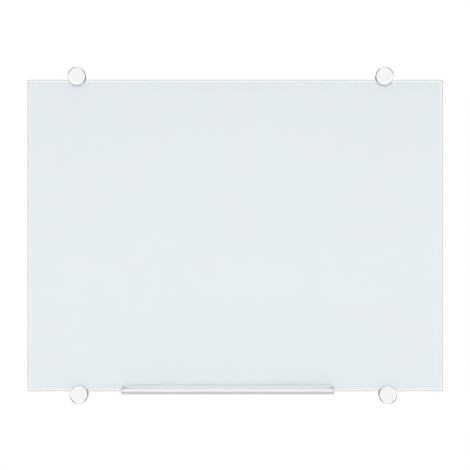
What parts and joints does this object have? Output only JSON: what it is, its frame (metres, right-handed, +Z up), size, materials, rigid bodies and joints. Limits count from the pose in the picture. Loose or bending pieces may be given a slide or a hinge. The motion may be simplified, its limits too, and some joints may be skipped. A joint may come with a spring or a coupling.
{
  "type": "glass whiteboard",
  "caption": "Frameless white glass writing board held off a wall by round edge-grip holders, with a metal pen tray clipped over its lower edge.",
  "frame": {"origin": "middle of the glass in width and height, on the wall plane that the barrels stand on", "axes": "+X to the right as seen from the front, +Y into the wall, +Z up; the writing face looks along -Y"},
  "size_m": [0.6, 0.0922, 0.4857],
  "materials": {
    "toughened_glass": "toughened soda-lime glass, polished faces, ground edges",
    "white_coat": "white coat on the back of the glass",
    "galvanised_steel": "hot-dip galvanised sheet",
    "polished_chrome": "polished chrome plate",
    "zinc_plated_steel": "bright zinc plate",
    "clear_plastic": "soft clear plastic",
    "anodised_aluminium": "satin silver anodised extrusion",
    "end_cap_plastic": "fine-textured moulded plastic",
    "grip_rubber": "soft grip strip"
  },
  "bodies": {
    "board": {"glass_panel": "toughened_glass", "white_back_coat": "white_coat", "magnetic_steel_sheet": "galvanised_steel", "top_left_barrel": "polished_chrome", "top_left_wall_screw": "zinc_plated_steel", "top_left_rear_washer": "clear_plastic", "top_left_sleeve": "clear_plastic", "top_right_barrel": "polished_chrome", "top_right_wall_screw": "zinc_plated_steel", "top_right_rear_washer": "clear_plastic", "top_right_sleeve": "clear_plastic", "bottom_left_barrel": "polished_chrome", "bottom_left_wall_screw": "zinc_plated_steel", "bottom_left_rear_washer": "clear_plastic", "bottom_left_sleeve": "clear_plastic", "bottom_right_barrel": "polished_chrome", "bottom_right_wall_screw": "zinc_plated_steel", "bottom_right_rear_washer": "clear_plastic", "bottom_right_sleeve": "clear_plastic"},
    "top_left_washer": {"top_left_front_washer": "clear_plastic"},
    "top_left_cap": {"top_left_cap": "polished_chrome", "top_left_cap_stud": "zinc_plated_steel"},
    "top_right_washer": {"top_right_front_washer": "clear_plastic"},
    "top_right_cap": {"top_right_cap": "polished_chrome", "top_right_cap_stud": "zinc_plated_steel"},
    "bottom_left_washer": {"bottom_left_front_washer": "clear_plastic"},
    "bottom_left_cap": {"bottom_left_cap": "polished_chrome", "bottom_left_cap_stud": "zinc_plated_steel"},
    "bottom_right_washer": {"bottom_right_front_washer": "clear_plastic"},
    "bottom_right_cap": {"bottom_right_cap": "polished_chrome", "bottom_right_cap_stud": "zinc_plated_steel"},
    "tray": {"pen_tray": "anodised_aluminium", "pen_tray_left_end_cap": "end_cap_plastic", "pen_tray_right_end_cap": "end_cap_plastic", "pen_tray_front_grip": "grip_rubber", "pen_tray_rear_grip": "grip_rubber"}
  },
  "joints": [
    {"name": "top_left_washer_slide", "type": "slide", "parent": "board", "child": "top_left_washer", "axis": [0, -1, 0], "range_m": [0, 0.0075]},
    {"name": "top_left_cap_turn", "type": "hinge", "parent": "top_left_washer", "child": "top_left_cap", "pos_m": [-0.2288, 0, 0.23005], "axis": [0, -1, 0], "range_deg": [0, 2160]},
    {"name": "top_right_washer_slide", "type": "slide", "parent": "board", "child": "top_right_washer", "axis": [0, -1, 0], "range_m": [0, 0.0075]},
    {"name": "top_right_cap_turn", "type": "hinge", "parent": "top_right_washer", "child": "top_right_cap", "pos_m": [0.2158, 0, 0.23005], "axis": [0, -1, 0], "range_deg": [0, 2160]},
    {"name": "bottom_left_washer_slide", "type": "slide", "parent": "board", "child": "bottom_left_washer", "axis": [0, -1, 0], "range_m": [0, 0.0075]},
    {"name": "bottom_left_cap_turn", "type": "hinge", "parent": "bottom_left_washer", "child": "bottom_left_cap", "pos_m": [-0.2256, 0, -0.22965], "axis": [0, -1, 0], "range_deg": [0, 2160]},
    {"name": "bottom_right_washer_slide", "type": "slide", "parent": "board", "child": "bottom_right_washer", "axis": [0, -1, 0], "range_m": [0, 0.0075]},
    {"name": "bottom_right_cap_turn", "type": "hinge", "parent": "bottom_right_washer", "child": "bottom_right_cap", "pos_m": [0.2205, 0, -0.22965], "axis": [0, -1, 0], "range_deg": [0, 2160]},
    {"name": "tray_slide", "type": "slide", "parent": "board", "child": "tray", "axis": [1, 0, 0], "range_m": [-0.049, 0.065]}
  ],
  "couplings": [
    {"joint": "top_left_washer_slide", "follows": "top_left_cap_turn", "m_per_rad": 0.00019894},
    {"joint": "top_right_washer_slide", "follows": "top_right_cap_turn", "m_per_rad": 0.00019894},
    {"joint": "bottom_left_washer_slide", "follows": "bottom_left_cap_turn", "m_per_rad": 0.00019894},
    {"joint": "bottom_right_washer_slide", "follows": "bottom_right_cap_turn", "m_per_rad": 0.00019894}
  ]
}
